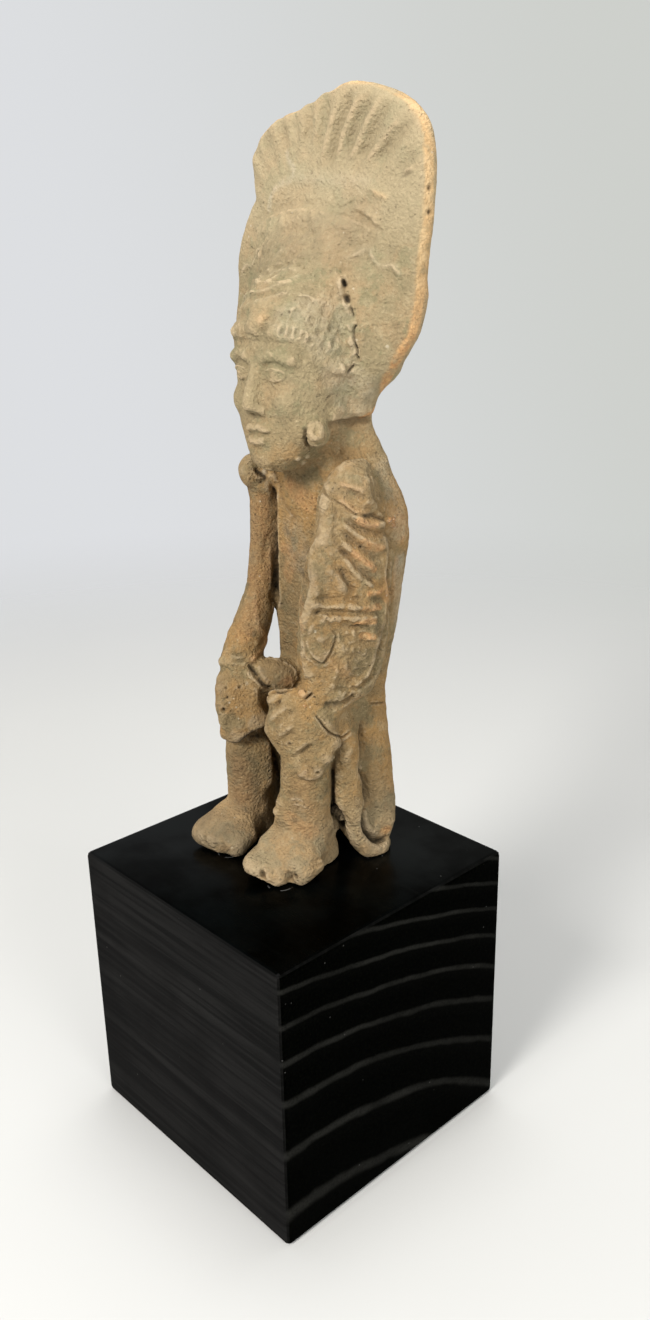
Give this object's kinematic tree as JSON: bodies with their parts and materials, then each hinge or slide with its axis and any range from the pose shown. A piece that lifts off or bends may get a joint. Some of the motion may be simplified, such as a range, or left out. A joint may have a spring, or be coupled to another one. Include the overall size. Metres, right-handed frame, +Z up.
{
  "type": "seated terracotta figure on a wood plinth",
  "caption": "Hand-made terracotta figure seated with drawn-up knees and hands on them, with a tall fan-shaped headdress, on a black-stained cube of wood.",
  "frame": {"origin": "middle of the plinth's underside, on the surface that it stands on", "axes": "+Z up, the figure faces -Y, its own left side is +X"},
  "size_m": [0.076, 0.076, 0.255],
  "materials": {
    "terracotta": "unglazed fired clay, matt and worn, taupe with orange where the skin is rubbed or broken",
    "black_stained_wood": "stained black with a thin satin coat, end grain on two sides, glossier on top"
  },
  "bodies": {
    "root": {"terracotta_figure": "terracotta", "wood_plinth": "black_stained_wood"}
  },
  "joints": []
}
